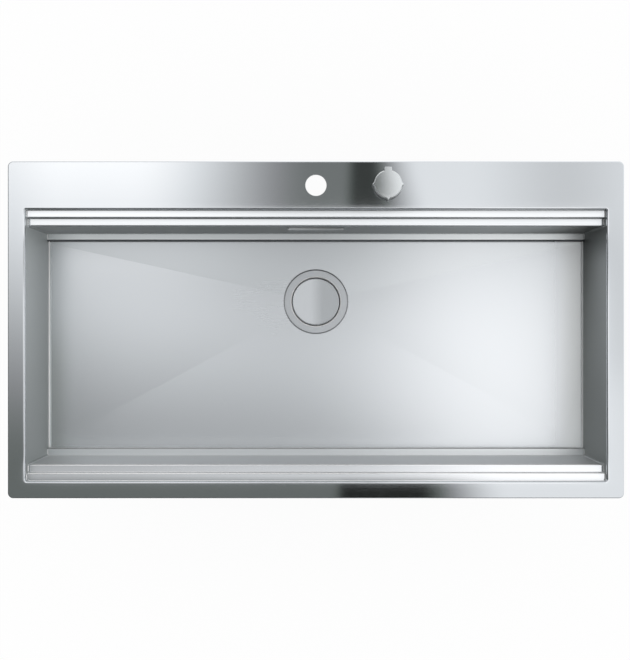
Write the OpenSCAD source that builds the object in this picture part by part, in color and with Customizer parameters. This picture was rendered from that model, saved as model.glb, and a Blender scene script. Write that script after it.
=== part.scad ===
// Inset kitchen sink: one wide bowl with stepped ledges, a tap deck and a lift-up basket waste.
// The worktop's surface is z = 0, the front edge faces -Y, and the rim is centred on the origin.

/* [Rim and deck] */
// Overall width of the rim
rim_w = 1024; // [900:1:1200]
// Overall depth of the rim, front to rear
rim_d = 560; // [500:1:620]
// Plan radius of the rim's outer corners
rim_corner_r = 9; // [7:0.5:16]
// Height of the deck above the worktop
deck_h = 4; // [4:0.25:5]
// Radius of the turned-down outer edge
lip_r = 1.5; // [1.5:0.25:3.75]
// Thickness of the steel sheet
sheet_t = 1; // [0.8:0.1:1.2]
// Width of the front rim, from its edge to the bowl
front_rim = 28; // [25:1:40]
// Width of the rim at each side of the bowl
side_rim = 28.5; // [25:0.5:45]
// Depth of the tap deck, from the bowl to the rear edge
tap_deck_d = 80; // [78:1:110]
// Thickness of the reinforcing plate under the tap deck
stiffener_t = 2; // [1.5:0.25:2.5]
// Width of the reinforcing plate
stiffener_w = 240; // [220:1:300]
// Depth of the reinforcing plate
stiffener_d = 48; // [46:1:50]

/* [Bowl] */
// Depth of the floor's edge below the deck
bowl_h = 200; // [170:1:220]
// Width of each ledge
ledge_w = 13; // [9:0.5:16]
// Height of each step between the upper ledges
ledge_drop = 12; // [8:0.5:15]
// Height of the lowest ledge above the floor
foot_h = 12; // [8:0.5:20]
// Fall of the floor from its corners to the waste
floor_fall = 5; // [3:0.5:8]
// Radius of the fold around the opening
fold_r = 3; // [2:0.25:3]
// Inside radius of the folds between the ledges
bend_r = 1; // [0.5:0.25:2]
// Plan radius of the opening's front corners
front_corner_r = 4; // [2:0.5:10]
// Plan radius of the opening's rear corners
rear_corner_r = 1.5; // [0.5:0.5:10]
// Radius of the ground weld along the floor's ends and the upright corners
weld_r = 3; // [1.5:0.5:4]
// Radius of the ground weld along the ledges' ends
ledge_weld_r = 2; // [1:0.25:3]

/* [Tap hole and control knob] */
// Radius of the tap hole
tap_r = 17.5; // [16:0.5:18]
// Distance of the tap hole and the knob from the rear edge
tap_inset = 40; // [38:1:42]
// Distance of the knob to the right of the tap hole
knob_x = 119; // [100:1:140]
// Radius of the knob
knob_r = 23.4; // [20:0.1:24]
// Height of the knob's top above the deck
knob_h = 20; // [18:1:30]
// Width of the knob's grip tab at the disc
tab_w = 14.4; // [10:0.5:16]
// Reach of the grip tab from the knob's axis
tab_reach = 28.5; // [26:0.5:31]
// Radius of the base ring under the knob
knob_base_r = 22.8; // [22:0.5:26]
// Radius of the threaded sleeve through the deck
sleeve_r = 13.6; // [11:0.2:15]
// Length of the sleeve below the deck
sleeve_len = 30; // [26:1:40]
// Radius of the knob's spindle
spindle_r = 4; // [3:0.25:5]
// Radius of the cable drum
drum_r = 14; // [10:0.5:15]

/* [Waste and strainer] */
// Distance of the waste's centre from the rim's centre, towards the rear
waste_y = 51; // [30:1:70]
// Radius of the flange in the floor
flange_r = 57; // [55:0.5:60]
// Thickness of the flange
flange_t = 1.2; // [1:0.1:1.5]
// Inside radius of the strainer cup
cup_r = 43.8; // [43.4:0.1:44.4]
// Depth of the strainer cup
cup_h = 38; // [36:1:46]
// Radius of the outlet in the cup's floor
cup_out_r = 29; // [27:0.5:30]
// Radius of the strainer's cap
cap_r = 42.5; // [41:0.1:42.6]
// Depth of the strainer's basket
basket_h = 24; // [18:1:26]
// Number of slots around the basket
basket_slots = 28; // [16:1:32]
// Height that the knob lifts the strainer
lift_h = 8; // [5:0.5:8]
// Radius of the lift pin
lift_pin_r = 3; // [2.5:0.25:3.5]
// Distance from the waste's centre to the lever's pivot
lever_arm = 45; // [44:0.5:50]
// Radius of the waste's outlet thread
outlet_thread_r = 23.9; // [23:0.1:25]
// Radius of the tailpiece
tail_r = 20; // [18:0.5:20]
// Length of the tailpiece below the outlet nut
tail_len = 70; // [40:1:120]

/* [Overflow] */
// Depth of the overflow's centre below the deck
overflow_drop = 65; // [60:1:80]
// Width of the overflow cover
overflow_w = 96; // [90:1:120]
// Height of the overflow cover
overflow_h = 24; // [22:1:30]
// Distance that the cover stands off the wall
overflow_out = 3; // [2.5:0.25:5]
// Radius of the overflow pipe
pipe_r = 11; // [9:0.5:12]
// Wall of the overflow pipe
pipe_t = 1.5; // [1:0.25:2]

/* [Rim clamps] */
// Radius of the clamp screw
clamp_screw_r = 3; // [2.5:0.25:3.5]
// Length of the clamp jaw's arm from its screw
jaw_reach = 34; // [28:1:40]
// Travel of the jaw up its screw
jaw_travel = 20; // [10:1:22]
// Thickness of the thinnest worktop that the clamps hold
worktop_min = 20; // [16:1:30]
// Thickness of the bracket's strip
bracket_t = 1.5; // [1:0.25:2]
// Offset of the outer clamps along the front and the rear
clamp_spread = 380; // [300:1:420]

/* [Hidden] */
$fn = 72;
eps = 0.01;

// Clearances
run_gap = 0.3;
seat_gap = 0.05;
pin_gap = 0.3;

// Levels of the bowl
deck_under = deck_h - sheet_t;
weld_z = deck_h - fold_r - 2;
ledge1_z = deck_h - ledge_drop;
ledge2_z = ledge1_z - ledge_drop;
floor_z = deck_h - bowl_h;
ledge3_z = floor_z + foot_h;
apex_z = floor_z - floor_fall;

// Plan of the bowl
bowl_w = rim_w - 2 * side_rim;
bowl_d = rim_d - front_rim - tap_deck_d;
open_front = -rim_d / 2 + front_rim;
open_rear = open_front + bowl_d;
open_mid = (open_front + open_rear) / 2;
wall_rear = open_rear - 2 * ledge_w;
wall_front = open_front + 2 * ledge_w;
floor_rear = open_rear - 3 * ledge_w;
floor_front = open_front + 3 * ledge_w;
floor_flat = 4;

// Tap deck
tap_y = rim_d / 2 - tap_inset;
gasket_edge = lip_r + run_gap;
stiffener_r = 4;

// Sound-deadening pads
pad_t = 3;
pad_inset = 30;
pad_w = bowl_w * 0.36;
pad_x = bowl_w * 0.29;

// Waste seat in the floor
seat_sink = 1.2;
seat_z = apex_z - seat_sink;
dish_gap = 1.5;
dish_r = flange_r + dish_gap;
flange_seal_t = 1;
flange_top = seat_z + flange_seal_t + flange_t;
cup_t = 1;
cup_edge_r = 1.5;
cup_floor_z = flange_top - cup_h;
waste_hole_r = cup_r + cup_t + 1.7;

// Waste body
gasket_t = 3;
body_top = seat_z - sheet_t - gasket_t;
body_wall = 3;
body_r = waste_hole_r - 0.5;
body_ledge_top = cup_floor_z - cup_t;
body_ledge_t = 4;
chamber_r = 33;
chamber_h = 31;
cone_h = 14;
chamber_bottom = body_ledge_top - chamber_h;
cone_bottom = chamber_bottom - cone_h;
spigot_len = 20;
spigot_bottom = cone_bottom - spigot_len;
flange_screw_pcr = 36.5;
flange_screw_boss_r = 4.5;
flange_screw_head_r = 3.4;
flange_screw_head_h = 2.2;
driver_slot = 1;
flange_screw_r = 2;
flange_screws = 3;

// Strainer
cap_t = 1.2;
stem_r = 4;
stem_top = flange_top - 1.6 - seat_gap;
seal_r = 32;
seal_t = 3;
basket_top_r = 40;
basket_foot_r = 34.5;
basket_t = 0.8;
seal_z = cup_floor_z + run_gap;
basket_z = seal_z + seal_t;
stem_bottom = cup_floor_z - 1.7;

// Lift pin and lever
guide_top = stem_bottom - 1.8;
guide_h = 6;
pin_top = stem_bottom - run_gap;
pin_foot_t = 2;
pin_bottom = guide_top - guide_h - lift_h - pin_foot_t - 0.5;
lever_tip_r = 3;
lever_rod_r = 2;
lever_ball_r = 5;
lever_z = pin_bottom - run_gap - lever_tip_r;
lever_out = 33;
neck_r = 7;
neck_wall = 3;
neck_end = lever_arm + 11;
nut_rib_r = 1.2;
cable_arm_w = 14;
cable_arm_t = 4;
gland_r = 5;
gland_len = 18;
cable_hole_r = 1.6;

// Overflow
overflow_z = deck_h - overflow_drop;
overflow_screw_room = 17;
slot_w = overflow_w - 2 * overflow_screw_room;
slot_h = 14;
overflow_gasket_t = 2.5;
overflow_flange_t = 4;
overflow_screw_x = overflow_w / 2 - 8;
overflow_screw_r = 2;
housing_w = slot_w + 4;
housing_h = 22;
housing_d = 24;
housing_wall = 2;
pipe_y = wall_rear + sheet_t + overflow_gasket_t + overflow_flange_t + housing_d / 2;
spout_r = pipe_r + 1;
spout_len = 18;
spout_wall = 1.5;
spout_bottom = overflow_z - housing_h / 2 - spout_len;
socket_len = 14;
pipe_bend_r = 30;
port_z = chamber_bottom + 13;
port_len = 12;
port_end = waste_y + body_r + body_wall + port_len;

// Knob
knob_base_h = 2;
knob_foot_z = deck_h + knob_base_h + 0.4;
knob_top = deck_h + knob_h;
knob_bevel = 1.6;
nib_out = 2.8;
nib_root = 8;
nib_w = 12;
tab_end_w = 12.2;
tab_end_r = 1.8;
sleeve_bottom = deck_h - sleeve_len;
drum_h = 9;
drum_gap = 1;
casing_t = 2;
casing_h = drum_h + 2 * drum_gap + casing_t;

// Clamps
lug_drop = 13;
lug_t = 2;
lug_r = 7;
bracket_w = 28;
bracket_out = 8;
bracket_lip = 2.8;
bracket_gap = 0.4;
wall_gap = 2;
jaw_h = 14;
jaw_tooth = 2;
jaw_rest_gap = 3;
jaw_clear = 1;
jaw_sleeve_r = 5.5;
jaw_z = -worktop_min - jaw_travel - jaw_clear - jaw_tooth - jaw_h;
bracket_bottom = jaw_z - jaw_rest_gap - lug_t;
bracket_h = deck_under - bracket_bottom;
clamp_inset = min(front_rim, side_rim) - sheet_t - wall_gap - bracket_out;
clamp_x = rim_w / 2 - clamp_inset;
clamp_y = rim_d / 2 - clamp_inset;
gasket_w = clamp_inset - bracket_lip - bracket_gap - gasket_edge;
CLAMPS = [
    [-clamp_spread, -clamp_y, -90],
    [0, -clamp_y, -90],
    [clamp_spread, -clamp_y, -90],
    [-clamp_spread * 0.75, clamp_y, 90],
    [clamp_spread * 0.75, clamp_y, 90],
    [-clamp_x, open_mid, 180],
    [clamp_x, open_mid, 0],
];

// Shared outlines

module rounded(w, d, r) {
    square([w - 2 * r, d], center = true);
    square([w, d - 2 * r], center = true);
    for (sx = [-1, 1], sy = [-1, 1])
        translate([sx * (w / 2 - r), sy * (d / 2 - r)]) circle(r);
}

// A rectangle whose front corners have one radius and rear corners another
module opening_outline(grow) {
    rf = front_corner_r + grow;
    rr = rear_corner_r + grow;
    w = bowl_w + 2 * grow;
    y0 = open_front - grow;
    y1 = open_rear + grow;
    translate([-w / 2, y0 + rf]) square([w, y1 - y0 - rf - rr]);
    translate([-w / 2 + rf, y0]) square([w - 2 * rf, rf]);
    translate([-w / 2 + rr, y1 - rr]) square([w - 2 * rr, rr]);
    for (s = [-1, 1]) {
        translate([s * (w / 2 - rf), y0 + rf]) circle(rf);
        translate([s * (w / 2 - rr), y1 - rr]) circle(rr);
    }
}

// Carries a profile around a rectangle: the profile's x points outward from the line, its y is z
module swept_frame(w, y0, y1, rf, rr) {
    for (m = [0, 1]) mirror([m, 0, 0]) {
        translate([w / 2, y1 - rr, 0]) rotate([90, 0, 0])
            linear_extrude(y1 - y0 - rf - rr) children();
        translate([w / 2 - rr, y1 - rr, 0])
            rotate_extrude(angle = 90) translate([rr, 0]) children();
        translate([w / 2 - rf, y0 + rf, 0]) rotate(-90)
            rotate_extrude(angle = 90) translate([rf, 0]) children();
    }
    translate([-w / 2 + rr, y1, 0]) rotate([90, 0, 90])
        linear_extrude(w - 2 * rr) children();
    translate([w / 2 - rf, y0, 0]) rotate([90, 0, -90])
        linear_extrude(w - 2 * rf) children();
}

// Quarter of a ring, in the quadrant that sx and sy point to
module quarter_ring(r_in, r_out, sx, sy) {
    intersection() {
        difference() {
            circle(r_out);
            circle(r_in);
        }
        translate([min(0, sx) * r_out, min(0, sy) * r_out]) square(r_out);
    }
}

// Sheet deck and bowl

module lip_profile() {
    translate([-lip_r, deck_h - lip_r]) quarter_ring(lip_r - sheet_t, lip_r, 1, 1);
    translate([-sheet_t, 0]) square([sheet_t, deck_h - lip_r]);
}

module fold_profile() {
    translate([fold_r, deck_h - fold_r]) quarter_ring(fold_r - sheet_t, fold_r, -1, 1);
    translate([0, weld_z]) square([sheet_t, deck_h - fold_r - weld_z]);
}

module deck() {
    color([0.78, 0.79, 0.8]) difference() {
        union() {
            translate([0, 0, deck_under]) linear_extrude(sheet_t) difference() {
                rounded(rim_w - 2 * lip_r, rim_d - 2 * lip_r, rim_corner_r - lip_r);
                opening_outline(fold_r);
            }
            swept_frame(rim_w, -rim_d / 2, rim_d / 2, rim_corner_r, rim_corner_r) lip_profile();
            swept_frame(bowl_w, open_front, open_rear, front_corner_r, rear_corner_r) fold_profile();
        }
        translate([0, tap_y, deck_under - 1]) cylinder(r = tap_r, h = sheet_t + 2);
        translate([knob_x, tap_y, deck_under - 1]) cylinder(r = sleeve_r + run_gap, h = sheet_t + 2);
    }
}

// The bowl's surface from the deck to the floor, as (y, z) corners of the rear wall
function wall_path(y0) = [
    [y0, weld_z],
    [y0, ledge1_z],
    [y0 - ledge_w, ledge1_z],
    [y0 - ledge_w, ledge2_z],
    [y0 - 2 * ledge_w, ledge2_z],
    [y0 - 2 * ledge_w, ledge3_z],
    [y0 - 3 * ledge_w, ledge3_z],
    [y0 - 3 * ledge_w, floor_z],
    [y0 - 3 * ledge_w - floor_flat, floor_z],
];

function unit(v) = v / norm(v);
function left_of(d) = [-d[1], d[0]];
function turn(p, i) = sign(cross(p[i] - p[i - 1], p[i + 1] - p[i]));
function trim_at(p, i) = i == 0 || i == len(p) - 1 ? 0 : turn(p, i) < 0 ? bend_r : bend_r + sheet_t;

// Sheet on the left of a square path, with a round fold at each corner
module folded_strip(p) {
    for (i = [0 : len(p) - 2]) {
        d = unit(p[i + 1] - p[i]);
        n = left_of(d) * sheet_t;
        a = p[i] + d * trim_at(p, i);
        b = p[i + 1] - d * trim_at(p, i + 1);
        polygon([a, b, b + n, a + n]);
    }
    for (i = [1 : len(p) - 2]) {
        d = unit(p[i] - p[i - 1]);
        to_corner = d - left_of(d) * turn(p, i);
        translate(p[i] - to_corner * trim_at(p, i))
            quarter_ring(bend_r, bend_r + sheet_t, to_corner[0], to_corner[1]);
    }
}

// Four planes that fall from the floor's edges to the waste, cut off below at a depth or at a level
module floor_pan(under, level) {
    xs = bowl_w / 2;
    y0 = floor_front + floor_flat;
    y1 = floor_rear - floor_flat;
    low = level == undef ? floor_z - under : level;
    low_apex = level == undef ? apex_z - under : level;
    polyhedron(
        points = [
            [-xs, y0, floor_z], [xs, y0, floor_z], [xs, y1, floor_z], [-xs, y1, floor_z],
            [0, waste_y, apex_z],
            [-xs, y0, low], [xs, y0, low], [xs, y1, low], [-xs, y1, low],
            [0, waste_y, low_apex],
        ],
        faces = [
            [4, 1, 0], [4, 2, 1], [4, 3, 2], [4, 0, 3],
            [9, 5, 6], [9, 6, 7], [9, 7, 8], [9, 8, 5],
            [0, 1, 6, 5], [1, 2, 7, 6], [2, 3, 8, 7], [3, 0, 5, 8],
        ]
    );
}

module overflow_slot(w, h, y0, depth) {
    translate([0, y0, overflow_z]) rotate([-90, 0, 0]) linear_extrude(depth)
        rounded(w, h, h / 2 - eps);
}

module bowl_trough() {
    color([0.74, 0.75, 0.77]) difference() {
        union() {
            translate([-bowl_w / 2, 0, 0]) rotate([90, 0, 90]) linear_extrude(bowl_w) {
                folded_strip(wall_path(open_rear));
                mirror([1, 0]) folded_strip(wall_path(-open_front));
            }
            floor_pan(sheet_t);
            intersection() {
                floor_pan(0, seat_z - sheet_t);
                translate([0, waste_y, seat_z - 2 * sheet_t])
                    cylinder(r = dish_r + sheet_t, h = floor_fall + 10);
            }
        }
        translate([0, waste_y, seat_z]) cylinder(r = dish_r, h = floor_fall + 10);
        translate([0, waste_y, seat_z - 2 * sheet_t]) cylinder(r = waste_hole_r, h = 4 * sheet_t);
        overflow_slot(slot_w, slot_h, wall_rear - 1, sheet_t + 2);
        for (sx = [-1, 1]) translate([sx * overflow_screw_x, wall_rear - 1, overflow_z]) rotate([-90, 0, 0])
            cylinder(r = overflow_screw_r + pin_gap, h = sheet_t + 2);
    }
}

// Outline of an end wall: the bowl's path with the sheet's thickness added outside
function end_half(y0) = [
    [y0 + sheet_t, weld_z],
    [y0 + sheet_t, ledge1_z - sheet_t],
    [y0 - ledge_w + sheet_t, ledge1_z - sheet_t],
    [y0 - ledge_w + sheet_t, ledge2_z - sheet_t],
    [y0 - 2 * ledge_w + sheet_t, ledge2_z - sheet_t],
    [y0 - 2 * ledge_w + sheet_t, ledge3_z - sheet_t],
    [y0 - 3 * ledge_w + sheet_t, ledge3_z - sheet_t],
    [y0 - 3 * ledge_w + sheet_t, floor_z - sheet_t],
];

module weld_fillet(len, r = weld_r) {
    linear_extrude(len) difference() {
        square(r);
        translate([r, r]) circle(r);
    }
}

// Ground weld across a ledge, with the ledge's outer edge at y
module ledge_weld(y, z) {
    translate([0, y - bend_r, z]) rotate([90, 0, 0]) mirror([1, 0, 0])
        weld_fillet(ledge_w - 2 * bend_r - sheet_t, ledge_weld_r);
}

module bowl_end(side) {
    rear = end_half(open_rear);
    front = [for (p = end_half(-open_front)) [-p[0], p[1]]];
    outline = concat(rear, [for (i = [len(front) - 1 : -1 : 0]) front[i]]);
    up_z = ledge3_z + bend_r;
    up_len = ledge2_z - bend_r - sheet_t - up_z;
    color([0.7, 0.71, 0.73]) mirror([side < 0 ? 1 : 0, 0, 0]) translate([bowl_w / 2, 0, 0]) {
        rotate([90, 0, 90]) linear_extrude(sheet_t) polygon(outline);
        translate([0, floor_rear - bend_r, floor_z]) rotate([90, 0, 0]) mirror([1, 0, 0])
            weld_fillet(floor_rear - floor_front - 2 * bend_r);
        translate([0, wall_rear, up_z]) rotate(180) weld_fillet(up_len);
        translate([0, wall_front, up_z]) rotate(90) weld_fillet(up_len);
        ledge_levels = [ledge1_z, ledge2_z, ledge3_z];
        for (i = [0 : 2]) {
            ledge_weld(open_rear - i * ledge_w, ledge_levels[i]);
            mirror([0, 1, 0]) ledge_weld(-open_front - i * ledge_w, ledge_levels[i]);
        }
    }
}

// Parts under the deck

module tap_stiffener() {
    color([0.6, 0.61, 0.63]) difference() {
        translate([knob_x / 2, tap_y, deck_under - stiffener_t])
            linear_extrude(stiffener_t) rounded(stiffener_w, stiffener_d, stiffener_r);
        translate([0, tap_y, deck_under - stiffener_t - 1]) cylinder(r = tap_r, h = stiffener_t + 2);
        translate([knob_x, tap_y, deck_under - stiffener_t - 1])
            cylinder(r = sleeve_r + run_gap, h = stiffener_t + 2);
    }
}

module rim_gasket() {
    inner_edge = gasket_edge + gasket_w;
    color([0.12, 0.12, 0.12]) linear_extrude(deck_under) difference() {
        rounded(rim_w - 2 * gasket_edge, rim_d - 2 * gasket_edge, rim_corner_r - gasket_edge);
        rounded(rim_w - 2 * inner_edge, rim_d - 2 * inner_edge, 2);
    }
}

module sound_pads() {
    pad_y0 = floor_front + pad_inset;
    pad_y1 = floor_rear - pad_inset;
    color([0.25, 0.26, 0.27]) {
        for (s = [-1, 1]) {
            intersection() {
                translate([0, 0, -sheet_t - seat_gap]) floor_pan(pad_t);
                translate([s * pad_x - pad_w / 2, pad_y0, apex_z - 2 * pad_t])
                    cube([pad_w, pad_y1 - pad_y0, floor_fall + 4 * pad_t]);
            }
            translate([s * (bowl_w / 2 + sheet_t + pad_t / 2), open_mid, (ledge2_z + ledge3_z) / 2])
                cube([pad_t, bowl_d * 0.5, (ledge2_z - ledge3_z) * 0.35], center = true);
        }
    }
}

// Waste and strainer

module at_waste(z = 0) translate([0, waste_y, z]) children();

module screw_circle() {
    for (i = [0 : flange_screws - 1])
        rotate(i * 360 / flange_screws + 45) translate([flange_screw_pcr, 0, 0]) children();
}

module waste_flange() {
    edge_x = cup_r + cup_edge_r;
    color([0.72, 0.73, 0.74]) at_waste() difference() {
        rotate_extrude() {
            difference() {
                translate([edge_x, flange_top - flange_t]) square([flange_r - edge_x, flange_t]);
                translate([flange_r, flange_top]) rotate(45) square(flange_t * 0.7, center = true);
            }
            translate([edge_x, flange_top - cup_edge_r])
                quarter_ring(cup_edge_r - cup_t, cup_edge_r, -1, 1);
            translate([cup_r, cup_floor_z - cup_t])
                square([cup_t, cup_h + cup_t - cup_edge_r]);
            translate([cup_out_r, cup_floor_z - cup_t]) square([cup_r - cup_out_r + cup_t, cup_t]);
        }
        translate([0, 0, cup_floor_z - 2 * cup_t]) screw_circle()
            cylinder(r = flange_screw_r + pin_gap, h = 4 * cup_t);
    }
}

module flange_seal() {
    color([0.1, 0.1, 0.1]) at_waste(seat_z) difference() {
        cylinder(r = flange_r - 1, h = flange_seal_t);
        translate([0, 0, -1]) cylinder(r = waste_hole_r, h = flange_seal_t + 2);
    }
}

module waste_gasket() {
    color([0.1, 0.1, 0.1]) at_waste(body_top) difference() {
        cylinder(r = dish_r - 1, h = gasket_t);
        translate([0, 0, -1]) cylinder(r = waste_hole_r, h = gasket_t + 2);
    }
}

module waste_body() {
    outer = chamber_r + body_wall;
    bore = tail_r + run_gap;
    color([0.9, 0.9, 0.88]) at_waste() difference() {
        union() {
            rotate_extrude() polygon([
                [body_r, body_top], [dish_r, body_top], [dish_r, body_top - 4],
                [body_r + body_wall, body_top - 4], [body_r + body_wall, body_ledge_top - body_ledge_t],
                [outer, body_ledge_top - body_ledge_t], [outer, chamber_bottom],
                [outlet_thread_r, cone_bottom], [outlet_thread_r, spigot_bottom],
                [bore, spigot_bottom], [bore, cone_bottom + 2],
                [chamber_r, chamber_bottom + 2], [chamber_r, body_ledge_top - body_ledge_t],
                [cup_out_r, body_ledge_top - body_ledge_t], [cup_out_r, body_ledge_top],
                [body_r, body_ledge_top],
            ]);
            translate([0, 0, body_ledge_top - body_ledge_t - 8]) screw_circle()
                cylinder(r = flange_screw_boss_r, h = 9);
            for (i = [0 : 2]) rotate(i * 120 + 90)
                translate([lift_pin_r + 2, -1.5, guide_top - guide_h])
                    cube([cup_out_r - lift_pin_r - 1, 3, guide_h]);
            translate([0, 0, guide_top - guide_h]) cylinder(r = lift_pin_r + 3, h = guide_h);
            translate([chamber_r + 1, 0, lever_z]) rotate([0, 90, 0])
                cylinder(r = neck_r + neck_wall, h = neck_end - chamber_r - 1);
            translate([0, chamber_r + 1, port_z]) rotate([-90, 0, 0])
                cylinder(r = spout_r + spout_wall, h = port_end - waste_y - chamber_r - 1);
            translate([outlet_thread_r - 2, -cable_arm_w / 2, cone_bottom])
                cube([lever_arm + lever_out - outlet_thread_r + 9, cable_arm_w, cable_arm_t]);
        }
        translate([0, 0, body_ledge_top - body_ledge_t - 7]) screw_circle()
            cylinder(r = flange_screw_r, h = 8 + body_ledge_t);
        translate([0, 0, guide_top - guide_h - 1]) cylinder(r = lift_pin_r + pin_gap, h = guide_h + 2);
        translate([chamber_r - 4, 0, lever_z]) rotate([0, 90, 0]) cylinder(r = neck_r, h = neck_end);
        translate([0, chamber_r - 4, port_z]) rotate([-90, 0, 0])
            cylinder(r = pipe_r - pipe_t, h = 12);
        translate([0, chamber_r + body_wall, port_z]) rotate([-90, 0, 0])
            cylinder(r = pipe_r + pin_gap, h = port_end);
        translate([lever_arm + lever_out, 0, cone_bottom - 1])
            cylinder(r = gland_r + pin_gap, h = cable_arm_t + 2);
    }
}

module flange_screws() {
    color([0.75, 0.75, 0.76]) at_waste() screw_circle() {
        translate([0, 0, body_ledge_top - body_ledge_t - 4]) cylinder(r = flange_screw_r - 0.1, h = body_ledge_t + 5);
        translate([0, 0, cup_floor_z + eps]) difference() {
            cylinder(r = flange_screw_head_r, h = flange_screw_head_h);
            translate([-4, -driver_slot / 2, flange_screw_head_h - driver_slot]) cube([8, driver_slot, 2]);
        }
    }
}

module outlet_nut() {
    nut_h = 16;
    skirt_top = spigot_bottom + 12;
    color([0.9, 0.9, 0.88]) at_waste() difference() {
        union() {
            translate([0, 0, skirt_top - nut_h]) cylinder(r = outlet_thread_r + 4, h = nut_h);
            for (i = [0 : 11]) rotate(i * 30) translate([outlet_thread_r + 4, 0, skirt_top - nut_h])
                cylinder(r = 1.5, h = nut_h);
        }
        translate([0, 0, spigot_bottom - 2]) cylinder(r = outlet_thread_r + 0.2, h = nut_h);
        translate([0, 0, skirt_top - nut_h - 1]) cylinder(r = tail_r + 0.3, h = nut_h + 2);
    }
}

module outlet_seal() {
    color([0.1, 0.1, 0.1]) at_waste(spigot_bottom - 2) difference() {
        cylinder(r = outlet_thread_r - 0.5, h = 1.9);
        translate([0, 0, -1]) cylinder(r = tail_r + 0.1, h = 4);
    }
}

module outlet_tailpiece() {
    top = cone_bottom - 2;
    bottom = spigot_bottom - 4 - tail_len;
    neck_r = tail_r - 0.5;
    color([0.9, 0.9, 0.88]) at_waste(bottom) difference() {
        union() {
            cylinder(r = tail_r, h = tail_len);
            cylinder(r = neck_r, h = top - bottom);
        }
        translate([0, 0, -1]) cylinder(r = neck_r - 1.8, h = top - bottom + 2);
    }
}

module strainer_cap() {
    rim = 1.6;
    color([0.8, 0.81, 0.82]) at_waste() rotate_extrude() {
        translate([0, flange_top - rim]) square([cap_r - rim, cap_t]);
        translate([cap_r - rim, flange_top - rim]) quarter_ring(rim - 1.2, rim, 1, 1);
        translate([cap_r - 1.2, flange_top - rim - 2.5]) square([1.2, 2.5]);
    }
}

module strainer_basket() {
    top = basket_z + basket_h;
    mid_z = basket_z + basket_h * 0.45;
    color([0.76, 0.77, 0.78]) at_waste() difference() {
        rotate_extrude() polygon([
            [stem_r, basket_z], [basket_foot_r, basket_z], [basket_top_r, top - 2],
            [basket_top_r + 1.2, top - 2], [basket_top_r + 1.2, top - 2 + basket_t],
            [basket_top_r - basket_t, top - 2 + basket_t],
            [basket_foot_r - basket_t, basket_z + basket_t], [stem_r, basket_z + basket_t],
        ]);
        for (i = [0 : basket_slots - 1]) rotate(i * 360 / basket_slots)
            translate([basket_foot_r - 2, -1.2, mid_z]) cube([10, 2.4, basket_h * 0.36]);
        for (ring = [[10, 8], [16, 12], [22, 18], [28, 24]], i = [0 : ring[1] - 1])
            rotate(i * 360 / ring[1]) translate([ring[0], 0, basket_z - 1]) cylinder(r = 1.5, h = 3);
    }
}

module strainer_stem() {
    color([0.8, 0.81, 0.82]) at_waste() {
        translate([0, 0, stem_bottom]) cylinder(r = stem_r - seat_gap, h = stem_top - stem_bottom);
        translate([0, 0, basket_z + basket_t + seat_gap]) cylinder(r = 7, h = 3);
        translate([0, 0, stem_top - 4]) cylinder(r = 7, h = 4);
    }
}

module strainer_seal() {
    color([0.1, 0.1, 0.1]) at_waste(seal_z) difference() {
        union() {
            cylinder(r1 = seal_r - 1, r2 = seal_r, h = 1);
            translate([0, 0, 1]) cylinder(r = seal_r, h = seal_t - 1 - seat_gap);
        }
        translate([0, 0, -1]) cylinder(r = stem_r, h = seal_t + 2);
    }
}

// Lift mechanism

module lift_pin() {
    color([0.8, 0.81, 0.82]) at_waste(pin_bottom) {
        cylinder(r = lift_pin_r, h = pin_top - pin_bottom - 0.6);
        translate([0, 0, pin_top - pin_bottom - 0.6]) cylinder(r1 = lift_pin_r, r2 = lift_pin_r - 0.6, h = 0.6);
        cylinder(r = lift_pin_r + 2, h = pin_foot_t);
    }
}

module lift_lever() {
    rod_len = lever_arm + lever_out;
    eye_r = 4.5;
    color([0.8, 0.81, 0.82]) at_waste(lever_z) difference() {
        union() {
            rotate([0, 90, 0]) rotate_extrude() intersection() {
                union() {
                    circle(lever_tip_r);
                    square([lever_rod_r, rod_len]);
                    translate([0, lever_arm]) circle(lever_ball_r);
                }
                translate([0, -rod_len]) square([2 * lever_ball_r, 3 * rod_len]);
            }
            translate([rod_len, 0, 0]) rotate([90, 0, 0]) cylinder(r = eye_r, h = 4, center = true);
        }
        translate([rod_len, 0, 0]) rotate([90, 0, 0]) cylinder(r = 1.6, h = 10, center = true);
    }
}

module lever_socket() {
    lip_way = lever_rod_r + 1.9;
    ball_way = lever_ball_r + run_gap;
    lip = 1.2;
    color([0.12, 0.12, 0.12]) at_waste(lever_z) translate([lever_arm, 0, 0]) rotate([0, 90, 0])
        rotate_extrude() difference() {
            translate([lip_way, -ball_way - lip]) square([neck_r - seat_gap - lip_way, 2 * (ball_way + lip)]);
            translate([0, -ball_way]) square([ball_way, 2 * ball_way]);
        }
}

module lever_nut() {
    skirt = neck_r + neck_wall;
    plug_x = lever_arm + lever_ball_r + run_gap + 1.2 + seat_gap;
    color([0.9, 0.9, 0.88]) at_waste(lever_z) difference() {
        union() {
            translate([neck_end - 8, 0, 0]) rotate([0, 90, 0]) cylinder(r = skirt + 3, h = 11.5);
            for (i = [0 : 7]) translate([neck_end - 8, 0, 0]) rotate([0, 90, 0]) rotate(i * 45)
                translate([skirt + 3, 0, 0]) cylinder(r = nut_rib_r, h = 11.5);
        }
        translate([neck_end - 9, 0, 0]) rotate([0, 90, 0]) difference() {
            cylinder(r = skirt + 0.1, h = 9 + seat_gap);
            translate([0, 0, plug_x - neck_end + 9]) cylinder(r = neck_r - 0.1, h = 20);
        }
        translate([lever_arm, 0, 0]) rotate([0, 90, 0]) cylinder(r = lever_rod_r + 3.6, h = lever_out);
    }
}

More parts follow.
